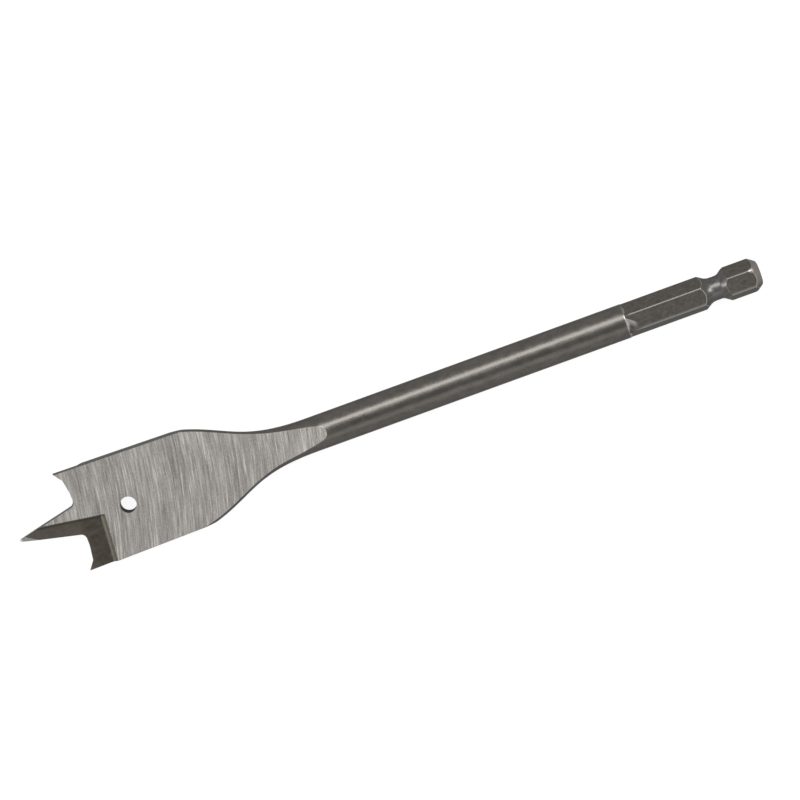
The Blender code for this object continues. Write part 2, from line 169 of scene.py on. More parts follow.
def groundProfile():
    # half thickness of the ground faces: along the blade, up the ramp, out through an arc
    angle = radians(bit["rampAngle"])
    top = halfThickness + (bit["runOutStart"] - bit["rampStart"]) * tan(angle)
    points = roundedOutline([
        (0, halfThickness, 0),
        (bit["rampStart"], halfThickness, bit["rampBend"]),
        (bit["runOutStart"], top, 0),
    ])
    radius = bit["runOutRadius"]
    centre = Vector((bit["runOutStart"] - radius * sin(angle), top + radius * cos(angle)))
    rise = (centre.y - shankRadius) / radius
    finish = asin(sqrt(1 - rise * rise))
    for step in range(1, bit["runOutStations"] + 1):
        swing = angle + (finish - angle) * step / bit["runOutStations"]
        points.append(centre + radius * Vector((sin(swing), -cos(swing))))
    return points


def heightAt(points, x):
    for first, second in zip(points, points[1:]):
        if first.x <= x <= second.x:
            return first.y + (second.y - first.y) * (x - first.x) / (second.x - first.x)
    return points[-1].y


def shankProfile(start):
    cornerRadius = bit["hexCorners"] / 2
    grooveRadius = bit["grooveDiameter"] / 2
    flank = (cornerRadius - grooveRadius) / tan(radians(bit["grooveFlank"]))
    near = bit["length"] - bit["grooveAt"] - bit["grooveFloor"] / 2
    far = near + bit["grooveFloor"]
    endRadius = bit["endFace"] / 2
    chamfer = (cornerRadius - endRadius) / tan(radians(bit["endChamfer"]))
    return roundedOutline([
        (start, shankRadius, 0),
        (hexStart, shankRadius, 0),
        (near - flank, cornerRadius, 0),
        (near, grooveRadius, bit["grooveFillet"]),
        (far, grooveRadius, bit["grooveFillet"] / 2),
        (far + flank, cornerRadius, 0),
        (bit["length"] - chamfer, cornerRadius, 0),
        (bit["length"], endRadius, bit["endRounding"]),
        (bit["length"], 0, 0),
    ])


def barStations():
    # (x, half width, half thickness, blend) all along the bar, closed to a point at both ends
    neck, ground = neckOutline(), groundProfile()
    places = sorted({point.x for point in neck} | {point.x for point in ground})
    rows = [(0, 0, 0, 1)]
    for x in places:
        blend = smoothStep((x - bit["rampStart"] + bit["rampLead"]) / (bit["neckEnd"] - bit["rampStart"]))
        thickness = shankRadius if x >= ground[-1].x else heightAt(ground, x)
        rows.append((x, heightAt(neck, x), min(thickness, shankRadius), blend))
    for point in shankProfile(places[-1] + margin):
        rows.append((point.x, max(point.y, 0), max(point.y, 0), 1))
    return rows


def barTree(mats):
    # Lofts the stations of the incoming line: each becomes a ring with round sides and two flats.
    tree = bpy.data.node_groups.new("forgedBar", "GeometryNodeTree")
    face = tree.interface
    face.new_socket("Geometry", in_out="INPUT", socket_type="NodeSocketGeometry")
    names = {}
    for name, kind, value in (
            ("Side Points", "NodeSocketInt", bit["sidePoints"]),
            ("Side Radius", "NodeSocketFloat", bit["sideRadius"]),
            ("Shank Radius", "NodeSocketFloat", shankRadius),
            ("Crown Offset", "NodeSocketFloat", bit["crownOffset"]),
            ("Ramp Lean", "NodeSocketFloat", radians(bit["rampLean"])),
            ("Weld Distance", "NodeSocketFloat", mergeDistance),
            ("Turned From", "NodeSocketFloat", bit["length"] - bit["hexLength"] / 2),
            ("Bar Radius", "NodeSocketFloat", bit["hexCorners"] / 2 - bit["turnedBelow"]),
            ("Forged", "NodeSocketMaterial", mats["forged"]),
            ("Ground", "NodeSocketMaterial", mats["ground"]),
            ("Turned", "NodeSocketMaterial", mats["turned"])):
        names[name] = face.new_socket(name, in_out="INPUT", socket_type=kind)
        names[name].default_value = value
    face.new_socket("Geometry", in_out="OUTPUT", socket_type="NodeSocketGeometry")
    given = tree.nodes.new("NodeGroupInput").outputs
    steps = given["Side Points"]

    line = given["Geometry"]
    size = addNode(tree, "GeometryNodeAttributeDomainSize", {"Geometry": line}, component="MESH")
    half = calc(tree, "ADD", steps, 1)
    around = calc(tree, "MULTIPLY", half, 2)
    columns = calc(tree, "ADD", around, 1)
    grid = addNode(tree, "GeometryNodeMeshGrid", {
        "Vertices X": size.outputs["Point Count"], "Vertices Y": columns})
    index = tree.nodes.new("GeometryNodeInputIndex").outputs[0]
    station = calc(tree, "FLOOR", calc(tree, "DIVIDE", calc(tree, "ADD", index, 0.5), columns))
    column = calc(tree, "SUBTRACT", index, calc(tree, "MULTIPLY", station, columns))
    column = calc(tree, "MODULO", column, around)

    def sampled(name, kind="FLOAT"):
        source = addNode(tree, "GeometryNodeInputNamedAttribute", {"Name": name}, data_type=kind)
        made = addNode(tree, "GeometryNodeSampleIndex", {
            "Geometry": line, "Value": source.outputs["Attribute"], "Index": station},
            data_type=kind, domain="POINT")
        return made.outputs["Value"]

    width, thick, blend, along = (sampled(name) for name in ("halfWidth", "halfThick", "blend", "along"))
    wide = calc(tree, "SUBTRACT", given["Shank Radius"], given["Side Radius"])
    radius = calc(tree, "MULTIPLY_ADD", wide, blend, given["Side Radius"])
    radius = calc(tree, "MINIMUM", radius, width)
    centreY = calc(tree, "SUBTRACT", width, radius)
    centreZ = calc(tree, "MULTIPLY", given["Crown Offset"], calc(tree, "SUBTRACT", 1, blend))
    lean = calc(tree, "MULTIPLY", calc(tree, "MULTIPLY", given["Ramp Lean"], blend), -1)
    shift = calc(tree, "SUBTRACT", calc(tree, "MULTIPLY", centreY, calc(tree, "SINE", lean)),
                 calc(tree, "MULTIPLY", centreZ, calc(tree, "COSINE", lean)))

    def faceAngle(height):
        share = calc(tree, "MINIMUM", calc(tree, "DIVIDE", height, radius), 1)
        return calc(tree, "ARCSINE", share)

    front = calc(tree, "ADD", lean, faceAngle(calc(tree, "ADD", thick, shift)))
    back = calc(tree, "SUBTRACT", lean, faceAngle(calc(tree, "SUBTRACT", thick, shift)))
    turned = calc(tree, "FLOOR", calc(tree, "DIVIDE", calc(tree, "ADD", column, 0.5), half))
    sign = calc(tree, "MULTIPLY_ADD", turned, -2, 1)
    step = calc(tree, "SUBTRACT", column, calc(tree, "MULTIPLY", turned, half))
    angle = calc(tree, "MULTIPLY_ADD", calc(tree, "SUBTRACT", front, back),
                 calc(tree, "DIVIDE", step, steps), back)
    y = calc(tree, "MULTIPLY_ADD", radius, calc(tree, "COSINE", angle), centreY)
    z = calc(tree, "MULTIPLY_ADD", radius, calc(tree, "SINE", angle), centreZ)
    place = addNode(tree, "ShaderNodeCombineXYZ", {
        "X": along, "Y": calc(tree, "MULTIPLY", sign, y), "Z": calc(tree, "MULTIPLY", sign, z)}).outputs[0]

    # the flats are the columns between the two round sides
    faceColumn = calc(tree, "MODULO", index, around)
    onFront = calc(tree, "COMPARE", faceColumn, steps, 0.5)
    onBack = calc(tree, "COMPARE", faceColumn, calc(tree, "SUBTRACT", around, 1), 0.5)
    flats = calc(tree, "MAXIMUM", onFront, onBack)
    everywhere = addNode(tree, "GeometryNodeSetMaterial", {
        "Geometry": grid.outputs["Mesh"], "Material": given["Forged"]})
    onFlats = addNode(tree, "GeometryNodeSetMaterial", {
        "Geometry": everywhere.outputs[0], "Selection": flats, "Material": given["Ground"]})
    moved = addNode(tree, "GeometryNodeSetPosition", {"Geometry": onFlats.outputs[0], "Position": place})
    # the groove and the chamfered end are turned bright
    middle = addNode(tree, "ShaderNodeSeparateXYZ", {
        0: tree.nodes.new("GeometryNodeInputPosition").outputs[0]}).outputs
    away = calc(tree, "SQRT", calc(tree, "ADD", calc(tree, "MULTIPLY", middle["Y"], middle["Y"]),
                                   calc(tree, "MULTIPLY", middle["Z"], middle["Z"])))
    inside = calc(tree, "MULTIPLY", calc(tree, "GREATER_THAN", middle["X"], given["Turned From"]),
                  calc(tree, "LESS_THAN", away, given["Bar Radius"]))
    joined = addNode(tree, "GeometryNodeMergeByDistance", {
        "Geometry": moved.outputs[0], "Distance": given["Weld Distance"]})
    real = addNode(tree, "GeometryNodeRealizeInstances", {"Geometry": joined.outputs[0]})
    lathe = addNode(tree, "GeometryNodeSetMaterial", {
        "Geometry": real.outputs[0], "Material": given["Turned"], "Selection": inside})
    out = tree.nodes.new("NodeGroupOutput")
    tree.links.new(lathe.outputs[0], out.inputs[0])
    return tree, {name: socket.identifier for name, socket in names.items()}


def linkNew(name, mesh):
    made = bpy.data.objects.new(name, mesh)
    bpy.context.scene.collection.objects.link(made)
    return made


def meshFrom(made):
    # the evaluated shape as a plain mesh; the object it came from goes
    bpy.context.view_layer.update()
    graph = bpy.context.evaluated_depsgraph_get()
    mesh = bpy.data.meshes.new_from_object(made.evaluated_get(graph), depsgraph=graph)
    mesh.transform(made.matrix_world)
    bpy.data.objects.remove(made, do_unlink=True)
    return mesh


def makeBlank(mats):
    rows = barStations()
    line = bpy.data.meshes.new("barLine")
    line.from_pydata([(row[0], 0, 0) for row in rows], [], [])
    for column, name in ((0, "along"), (1, "halfWidth"), (2, "halfThick"), (3, "blend")):
        store = line.attributes.new(name, "FLOAT", "POINT")
        store.data.foreach_set("value", [row[column] for row in rows])
    bar = linkNew("barLine", line)
    tree, sockets = barTree(mats)
    loft = bar.modifiers.new("loft", "NODES")
    loft.node_group = tree
    loft[sockets["Side Points"]] = bit["sidePoints"]
    mesh = meshFrom(bar)
    bm = bmesh.new()
    bm.from_mesh(mesh)
    bmesh.ops.dissolve_degenerate(bm, dist=weld, edges=bm.edges)
    bmesh.ops.recalc_face_normals(bm, faces=bm.faces)
    bm.to_mesh(mesh)
    bm.free()
    return linkNew("barBlank", mesh)


# what is cut from the blank

def bmeshObject(name, bm, material):
    mesh = bpy.data.meshes.new(name)
    bm.to_mesh(mesh)
    bm.free()
    mesh.materials.append(material)
    return linkNew(name, mesh)


def halfTurn(made, name):
    mesh = made.data.copy()
    mesh.transform(Matrix.Rotation(pi, 4, "X"))
    return linkNew(name, mesh)


def drum(name, material, centre, radius, length, sides, farRadius=None, turn=Matrix.Identity(4)):
    bm = bmesh.new()
    bmesh.ops.create_cone(bm, cap_ends=True, segments=sides, radius1=radius,
                          radius2=radius if farRadius is None else farRadius, depth=length)
    bm.transform(Matrix.Translation(centre) @ turn)
    return bmeshObject(name, bm, material)


def block(name, material, place):
    bm = bmesh.new()
    bmesh.ops.create_cube(bm, size=1)
    bm.transform(place)
    return bmeshObject(name, bm, material)


def plateFrom(name, material, outline, thickness):
    bm = bmesh.new()
    lower = [bm.verts.new((x, y, -thickness / 2)) for x, y in outline]
    upper = [bm.verts.new((x, y, thickness / 2)) for x, y in outline]
    bm.faces.new(lower)
    bm.faces.new(upper)
    for index in range(len(outline)):
        after = (index + 1) % len(outline)
        bm.faces.new((lower[index], lower[after], upper[after], upper[index]))
    bmesh.ops.remove_doubles(bm, verts=bm.verts, dist=weld)
    bmesh.ops.recalc_face_normals(bm, faces=bm.faces)
    return bmeshObject(name, bm, material)


def endCutters(material):
    slope = tan(radians(spike["angle"] / 2))
    blunt = spike["blunt"] / 2
    footX = spike["length"] - spike["spurRise"]
    outside = halfCut + stockMargin + margin
    beyond = spurTip - (footX - spurTip) / spike["spurWidth"] * (outside - halfCut)
    outline = roundedOutline([
        (-margin, slope * margin - blunt, 0),
        (spike["length"], -(blunt + slope * spike["length"]), spike["fillet"]),
        (spike["length"], -spike["crownAt"], spike["crownRadius"]),
        (footX, spike["spurWidth"] - halfCut, spike["spurFoot"]),
        (beyond, -outside, 0),
        (-margin, -outside, 0),
    ])
    made = plateFrom("endCut", material, outline, bit["thickness"] + 2 * margin)
    slant = Matrix.Identity(4)
    slant[0][2] = -tan(radians(spike["relief"]))
    slant[0][3] = tan(radians(spike["relief"])) * leadingFace
    made.data.transform(slant)
    return [made, halfTurn(made, "endCutBack")]


def sideCutters(material):
    outside = halfCut + stockMargin + margin
    far = bit["neckStart"] + (bit["neckEnd"] - bit["neckStart"]) / 4
    made = plateFrom("sideTrim", material, [
        (-margin, -outside), (far, -outside),
        (far, -trimmedHalfWidth(far)), (-margin, -trimmedHalfWidth(-margin)),
    ], bit["shankDiameter"] + 2 * margin)
    slant = Matrix.Identity(4)
    slant[1][2] = -tan(radians(bit["sideRelief"]))
    slant[1][3] = tan(radians(bit["sideRelief"])) * leadingFace
    made.data.transform(slant)
    return [made, halfTurn(made, "sideTrimBack")]


def hollowSide(x):
    return (hollow["length"] - x) * tan(radians(hollow["sideAngle"])) - hollow["sideOffset"]


def hollowCutters(material):
    lean = tan(radians(hollow["wallLean"]))
    bm = bmesh.new()
    bmesh.ops.create_cube(bm, size=2)
    for corner in bm.verts:
        sign = corner.co.copy()
        z = halfThickness + margin if sign.z > 0 else leadingFace
        x = -margin
        y = hollowSide(x) if sign.y > 0 else -(halfCut + margin)
        if sign.x > 0:
            x = hollow["length"] + (z - halfThickness) * hollow["wallRun"] / hollow["depth"]
            y = hollowSide(hollow["length"]) if sign.y > 0 else y
            x += (y - hollowSide(hollow["length"])) * lean
            y = hollowSide(x) if sign.y > 0 else y
        corner.co = (x, y, z)
    bmesh.ops.triangulate(bm, faces=bm.faces)
    made = bmeshObject("hollow", bm, material)
    return [made, halfTurn(made, "hollowBack")]


def facetCutters(name, material):
    size = spike["length"] / 2
    start, heading, tilt = spike[name]
    place = (Matrix.Translation((start, 0, leadingFace))
             @ Matrix.Rotation(-radians(heading), 4, "Z") @ Matrix.Rotation(radians(tilt), 4, "X")
             @ Matrix.Translation((0, margin - size, size)) @ Matrix.Scale(2 * size, 4))
    made = block(name, material, place)
    return [made, halfTurn(made, name + "Back")]


def holeCutter(material):
    return drum("hangHole", material, (hangHole["distance"], -hangHole["offset"], 0),
                hangHole["diameter"] / 2, bit["thickness"] + 2 * margin, hangHole["sides"])


def restCutter(material):
    start, end = spike["length"] / 2, bit["length"] + margin
    size = Matrix.Diagonal((end - start, 2 * bit["shankDiameter"], 2 * margin, 1))
    under = Matrix.Translation(((start + end) / 2, 0, -axisHeight - margin))
    return block("restFlat", material, Matrix.Rotation(-restingRoll, 4, "X") @ under @ size)


def cutWith(target, tools):
    for tool in tools:
        cut = target.modifiers.new(tool.name, "BOOLEAN")
        cut.operation = "DIFFERENCE"
        cut.solver = "EXACT"
        cut.material_mode = "TRANSFER"
        cut.object = tool


def hexSleeve(material, shoulderMaterial):
    # a round sleeve with a hexagonal bore and a conical mouth: what milling takes off the bar
    alongX = Matrix.Rotation(pi / 2, 4, "Y")
    slope = tan(radians(bit["shoulder"]))
    start, end = hexStart - margin / slope, bit["length"] + margin
    middle = ((start + end) / 2, 0, 0)
    sleeve = drum("hexSleeve", material, middle, 2 * shankRadius, end - start,
                  bit["sleeveSides"], turn=alongX)
    turned = Matrix.Rotation(radians(bit["hexTurn"]), 4, "X") @ alongX
    through = end - start + 4 * margin
    core = drum("hexCore", material, middle, bit["hexFlats"] / sqrt(3), through, 6, turn=turned)
    mouth = shankRadius + 2 * margin
    coneMiddle = (hexStart - 2 * margin / slope + mouth / slope / 2, 0, 0)
    cone = drum("shoulderCone", shoulderMaterial, coneMiddle, mouth, mouth / slope,
                bit["shoulderSides"], 0, alongX)
    cutWith(sleeve, [core, cone])
    mesh = meshFrom(sleeve)
    for used in (core, cone):
        bpy.data.objects.remove(used, do_unlink=True)
    return linkNew("hexSleeve", mesh)


# shader groups shared by the finishes

noises = {  # how fine along, across and through the bit; detail, roughness and distortion
    "broad": ((300, 30, 60), 2.0, 0.5, 0.0),
    "middle": ((1500, 60, 120), 3.0, 0.6, 0.0),
    "fine": ((5200, 190, 400), 2.0, 0.6, 0.0),
    "grit": ((3000, 2200, 2200), 2.0, 0.6, 0.0),
    "patches": ((420, 600, 600), 4.0, 0.6, 0.3),
    "grain": ((2300, 3300, 3300), 3.0, 0.65, 0.0),
}
heights = {"middle": 0.5, "fine": 0.7, "grit": 0.2, "patches": 0.3, "grain": 0.5}
glintShares = {"middle": 0.4, "fine": 0.6}
contrasts = {  # where an output starts to rise from 0, and where it is 1
    "Streaks": (0.34, 0.66), "Scratches": (0.30, 0.74), "Grain": (0.30, 0.70),
    "Glints": (0.56, 0.68), "Patches": (0.30, 0.70),
}


def newGroup(name, inputs, outputs):
    tree = bpy.data.node_groups.new(name, "ShaderNodeTree")
    for label, kind in inputs:
        tree.interface.new_socket(label, in_out="INPUT", socket_type="NodeSocket" + kind)
    for label in outputs:
        tree.interface.new_socket(label, in_out="OUTPUT", socket_type="NodeSocketFloat")
    return tree, tree.nodes.new("NodeGroupInput").outputs, tree.nodes.new("NodeGroupOutput").inputs


def stretchedNoise(tree, place, name):
    scale, detail, roughness, distortion = noises[name]
    spread = addNode(tree, "ShaderNodeVectorMath", {0: place, 1: scale}, operation="MULTIPLY")
    return addNode(tree, "ShaderNodeTexNoise", {
        "Vector": spread.outputs[0], "Scale": 1.0, "Detail": detail, "Roughness": roughness,
        "Distortion": distortion}).outputs[0]


def sharpen(tree, out, name, value):
    plug(tree, out[name], rangeOf(tree, value, *contrasts[name]))


def sumOf(tree, first, firstShare, second, secondShare):
    return calc(tree, "MULTIPLY_ADD", first, firstShare, calc(tree, "MULTIPLY", second, secondShare))


def grindGroup():
    # marks of the grinding wheel: arcs across the faces in broad streaks and fine scratches
    tree, given, out = newGroup(
        "grindMarks", [("Vector", "Vector"), ("Lean", "Float"), ("Bend", "Float")],
        ["Streaks", "Scratches", "Grain", "Glints", "Height"])
    parts = addNode(tree, "ShaderNodeSeparateXYZ", {0: given["Vector"]}).outputs
    swing = calc(tree, "MULTIPLY", calc(tree, "MULTIPLY", parts["Y"], parts["Y"]), given["Bend"])
    swing = calc(tree, "SUBTRACT", swing, calc(tree, "MULTIPLY", parts["Y"], given["Lean"]))
    place = addNode(tree, "ShaderNodeCombineXYZ", {
        "X": calc(tree, "ADD", parts["X"], swing), "Y": parts["Y"], "Z": parts["Z"]}).outputs[0]
    broad, middle, fine = (stretchedNoise(tree, place, name) for name in ("broad", "middle", "fine"))
    grit = stretchedNoise(tree, given["Vector"], "grit")
    sharpen(tree, out, "Streaks", calc(tree, "DIVIDE", calc(tree, "ADD", broad, middle), 2))
    sharpen(tree, out, "Scratches", fine)
    sharpen(tree, out, "Grain", grit)
    sharpen(tree, out, "Glints", sumOf(tree, fine, glintShares["fine"], middle, glintShares["middle"]))
    height = sumOf(tree, fine, heights["fine"], middle, heights["middle"])
    plug(tree, out["Height"], calc(tree, "MULTIPLY_ADD", grit, heights["grit"], height))
    return tree


def mottleGroup():
    # uneven dark skin of forged and heat treated steel
    tree, given, out = newGroup(
        "forgedSkin", [("Vector", "Vector"), ("Size", "Float")], ["Patches", "Grain", "Height"])
    scaled = addNode(tree, "ShaderNodeVectorMath", {
        0: given["Vector"], "Scale": calc(tree, "DIVIDE", 1.0, given["Size"])}, operation="SCALE")
    patches, grain = (stretchedNoise(tree, scaled.outputs[0], name) for name in ("patches", "grain"))
    sharpen(tree, out, "Patches", patches)
    sharpen(tree, out, "Grain", grain)
    plug(tree, out["Height"], sumOf(tree, grain, heights["grain"], patches, heights["patches"]))
    return tree


def bitPlace(tree):
    # the stored place along, across and through the bit, the same for both halves of the blade
    return addNode(tree, "ShaderNodeAttribute", attribute_name="place").outputs["Vector"]


def partsOfPlace(tree):
    return addNode(tree, "ShaderNodeSeparateXYZ", {0: bitPlace(tree)}).outputs


# Where each mark of wear, painted shade or painted highlight sets in and is full, or starts to fade and is
# gone, in metres.
marks = {
    # along the bit, from the spike's foot and from the hollow's end
    "spikeFloor": (-0.0010, 0.0010), "hollowEnd": (-0.0002, 0.0001),
    # up from the hollow's floor, and past its inner side
    "wallFoot": (0.00001, 0.00012), "wallMiddle": (0.00034, 0.00050),
    "paintedShadeStart": (-0.00008, 0.00002), "paintedShadeEnd": (0.00004, 0.00010),
    # along the bit, from the neck's end, and from where the ground faces run out
    "tongueStart": (-0.0070, 0.0), "darkBandStart": (0.0020, 0.0080), "tongueEnd": (0.0, 0.0001),
    # along the bit, from where the hex starts
    "darkBandEnd": (-0.0004, 0.0), "shankRimStart": (-0.00024, -0.00008), "shankRimEnd": (0.0, 0.00005),
    "rootStart": (0.0, 0.00005), "rootEnd": (0.0005, 0.0013), "cornerStart": (0.0001, 0.0010),
    "roughStart": (0.0, 0.0010), "bandStart": (0.0010, 0.0030),
    # along the bit, from the groove's middle, and from the bit's end
    "grooveMiddle": (-0.0002, 0.0002), "endHex": (-0.0040, -0.0030),
    "chamferStart": (-0.0023, -0.0018),
    # across the bit
    "farFlat": (0.0014, 0.0018), "ringFar": (0.0015, 0.0019), "ringLow": (-0.0030, -0.0002),
    "bandAcross": (-0.0014, -0.0010), "chamferLow": (-0.0026, -0.0006),
    "darkBandLow": (-0.00045, -0.00010), "darkBandHigh": (0.00045, 0.00085),
    # through the bit
    "upperFlats": (0.0020, 0.0024), "bandThrough": (0.0010, 0.0014), "darkBandUp": (0.0, 0.0010),
    # from the axis, from the fan's upper edge, and from the hex's upper corner
    "bandRadius": (0.00342, 0.00357), "fanEdge": (-0.00012, 0.00010), "spot": (0.0002, 0.0008),
}


def span(name, landmark=0.0):
    return tuple(landmark + edge for edge in marks[name])


def rampUp(tree, value, edges, share=1.0, smooth=False):
    return rangeOf(tree, value, *edges, 0.0, share, smooth)


def rampDown(tree, value, edges, share=1.0, smooth=False):
    return rangeOf(tree, value, *edges, share, 0.0, smooth)


def product(tree, *values):
    made = values[0]
    for value in values[1:]:
        made = calc(tree, "MULTIPLY", made, value)
    return made


def beyondInnerSide(tree, place):
    # how far a point lies inside the hollow, measured from its inner side
    slope = tan(radians(hollow["sideAngle"]))
    inner = calc(tree, "MULTIPLY_ADD", place["X"], -slope, hollow["length"] * slope - hollow["sideOffset"])
    return calc(tree, "SUBTRACT", inner, place["Y"])


def hollowShade(tree, colour, look):
    # painted shade along the hollow's inner side; its end wall is lighter, most of all at the foot
    place = partsOfPlace(tree)
    spikeFloor = rampDown(tree, place["X"], span("spikeFloor", spike["length"]), look["spikeShare"])
    colour = blendColour(tree, spikeFloor, colour, look["spikeColour"])
    inside = beyondInnerSide(tree, place)
    shade = rampDown(tree, inside, look["paintedShadeWidths"], look["paintedShade"], smooth=True)
    colour = blendColour(tree, shade, colour, look["paintedShadeColour"])
    height = calc(tree, "SUBTRACT", place["Z"], leadingFace)
    wall = rampUp(tree, height, span("wallFoot"), look["wall"])
    foot = product(tree, wall, rampDown(tree, height, span("wallMiddle"), smooth=True))
    colour = blendColour(tree, wall, colour, look["wallColour"])
    return blendColour(tree, foot, colour, look["footColour"])


def radiusOf(tree, place):
    square = calc(tree, "MULTIPLY", place["Z"], place["Z"])
    return calc(tree, "SQRT", calc(tree, "MULTIPLY_ADD", place["Y"], place["Y"], square))


def turnedRim(tree, place, look):
    # a thin rim where the groove and the chamfer break out of the flats, faint past the groove; partly
    # edge wear, partly painted highlight
    slope, fall = tan(radians(bit["grooveFlank"])), tan(radians(bit["endChamfer"]))
    past = calc(tree, "SUBTRACT", place["X"], bit["length"] - bit["grooveAt"])
    groove = calc(tree, "MULTIPLY_ADD", calc(tree, "ABSOLUTE", past), slope,
                  (bit["grooveDiameter"] - slope * bit["grooveFloor"]) / 2)
    chamfer = calc(tree, "MULTIPLY_ADD", place["X"], -fall, bit["endFace"] / 2 + bit["length"] * fall)
    left = calc(tree, "SUBTRACT", calc(tree, "MINIMUM", groove, chamfer), radiusOf(tree, place))
    rim = rampDown(tree, left, look["rimWidths"], look["rim"], smooth=True)
    beyond = product(tree, rampUp(tree, past, span("grooveMiddle")),
                     rampDown(tree, place["X"], span("endHex", bit["length"])))
    rim = product(tree, rim, calc(tree, "MULTIPLY_ADD", beyond, -look["rimLoss"], 1.0))
    return product(tree, rim, rangeOf(tree, place["Y"], *span("farFlat"), 1.0, look["farRim"]))


def paintedSheenBand(tree, place, look):
    # the lower corner of the hex's upper side gets a soft band of painted reflection
    band = rampUp(tree, radiusOf(tree, place), span("bandRadius"), look["band"], smooth=True)
    side = product(tree, rampDown(tree, place["Y"], span("bandAcross")),
                   rampUp(tree, place["Z"], span("bandThrough")))
    return product(tree, band, side, rampUp(tree, place["X"], span("bandStart", hexStart)))


def fadeAround(tree, place):
    # the shoulder's bright line is a painted highlight, faint on the far flat and fading towards the
    # underside
    return calc(tree, "MAXIMUM", rampUp(tree, place["Y"], span("ringFar")),
                rampDown(tree, place["Y"], span("ringLow")))


def hexWear(tree, colour, look):
    # the pale fan that the cutter left where the hex begins, a painted sheen band, and bright rims at the
    # turned parts, partly wear and partly painted highlight
    place = partsOfPlace(tree)
    along = calc(tree, "SUBTRACT", place["X"], hexStart)
    upper = calc(tree, "MULTIPLY_ADD", along, -look["fanSlope"], look["fanTop"])
    down = calc(tree, "SUBTRACT", upper, place["Y"])
    fan = product(tree, rampUp(tree, down, span("fanEdge"), smooth=True),
                  rampDown(tree, down, look["fanDepths"]),
                  rampDown(tree, along, look["fanLengths"]),
                  rampUp(tree, place["Z"], span("upperFlats"), look["fan"]))
    colour = blendColour(tree, fan, colour, look["fanColour"])
    colour = blendColour(tree, paintedSheenBand(tree, place, look), colour, look["bandColour"])
    return blendColour(tree, turnedRim(tree, place, look), colour, look["rimColour"])


def paintedDarkBand(tree, place, look):
    # a dark band painted along the upper side of the round shank, a painted dark reflection below its
    # highlight
    across = product(tree, rampUp(tree, place["Y"], span("darkBandLow"), smooth=True),
                     rampDown(tree, place["Y"], span("darkBandHigh"), smooth=True))
    along = product(tree, rampUp(tree, place["X"], span("darkBandStart", bit["neckEnd"])),
                    rampDown(tree, place["X"], span("darkBandEnd", hexStart)))
    return product(tree, across, along, rampUp(tree, place["Z"], span("darkBandUp"), look["darkBand"]))


def shankRim(tree, place, look):
    # a bright line on the shank just before the hex: a painted highlight, faint on the far flat and
    # towards the underside
    kept = calc(tree, "MULTIPLY_ADD", fadeAround(tree, place), -look["ringLoss"], 1.0)
    return product(tree, rampUp(tree, place["X"], span("shankRimStart", hexStart), smooth=True),
                   rampDown(tree, place["X"], span("shankRimEnd", hexStart), look["shankRim"]), kept)


def tongueRim(tree, place, look):
    # a light rim along the tongue's edge, partly wear and partly painted highlight
    beside = addNode(tree, "ShaderNodeAttribute", attribute_name="rim").outputs["Fac"]
    runOut = groundProfile()[-1].x
    start = rampUp(tree, place["X"], span("tongueStart", bit["neckEnd"]), look["tongueRim"])
    return product(tree, beside, start, rampDown(tree, place["X"], span("tongueEnd", runOut)))


def barWear(tree, colour, look):
    # rubbed corners along the hex, a painted sheen band, painted shade past the shoulder, a painted dark
    # reflection band, and light rims on the tongue, the shank's end and the turned parts, partly wear and
    # partly painted highlight
    place = partsOfPlace(tree)
    corner = rampUp(tree, place["X"], span("cornerStart", hexStart), look["corner"])
    colour = blendColour(tree, corner, colour, look["cornerColour"])
    colour = blendColour(tree, paintedSheenBand(tree, place, look), colour, look["bandColour"])
    # the hex's corners are painted dark just past the shoulder, a painted shade that holds back their
    # highlight
    root = product(tree, rampUp(tree, place["X"], span("rootStart", hexStart), look["root"]),
                   rampDown(tree, place["X"], span("rootEnd", hexStart)))
    colour = blendColour(tree, root, colour, look["paintedDarkColour"])
    # a painted dark reflection band along the shank, below its highlight
    colour = blendColour(tree, paintedDarkBand(tree, place, look), colour, look["paintedDarkColour"])
    rim = calc(tree, "MAXIMUM", shankRim(tree, place, look), tongueRim(tree, place, look))
    rim = calc(tree, "MAXIMUM", rim, turnedRim(tree, place, look))
    return blendColour(tree, rim, colour, look["rimColour"])


def shoulderShade(tree, colour, look):
    # the shoulder cone's pale colour is a painted highlight; this paints it darker on the far flat and
    # towards the underside, a painted shade
    paintedDim = product(tree, fadeAround(tree, partsOfPlace(tree)), look["paintedDim"])
    return blendColour(tree, paintedDim, colour, look["paintedDimColour"])


def chamferShade(tree, colour, look):
    # the end's chamfer is lighter, less so towards the underside
    place = partsOfPlace(tree)
    last = rampUp(tree, place["X"], span("chamferStart", bit["length"]), look["chamfer"])
    high = rangeOf(tree, place["Y"], *span("chamferLow"), look["chamferUnder"], 1.0, smooth=True)
    return blendColour(tree, product(tree, last, high), colour, look["chamferColour"])


def wearAndHighlightSpot(tree, look):
    # the upper corner of the hex is painted bright where it meets the end's chamfer, partly wear and
    # partly painted highlight
    angle, radius = radians(60 + bit["hexTurn"]), bit["hexCorners"] / 2
    before = (radius - bit["endFace"] / 2) / tan(radians(bit["endChamfer"]))
    spot = Vector((bit["length"] - before, radius * cos(angle), radius * sin(angle)))
    away = addNode(tree, "ShaderNodeVectorMath", {0: bitPlace(tree), 1: spot}, operation="DISTANCE")
    return rampDown(tree, away.outputs["Value"], span("spot"), look["spot"], smooth=True)


def spikeGleam(tree, colour, look):
    # the spike's cut sides are painted lighter near the point: a painted highlight
    near = rampDown(tree, partsOfPlace(tree)["X"], look["gleamLengths"], look["gleam"])
    return blendColour(tree, near, colour, look["gleamColour"])


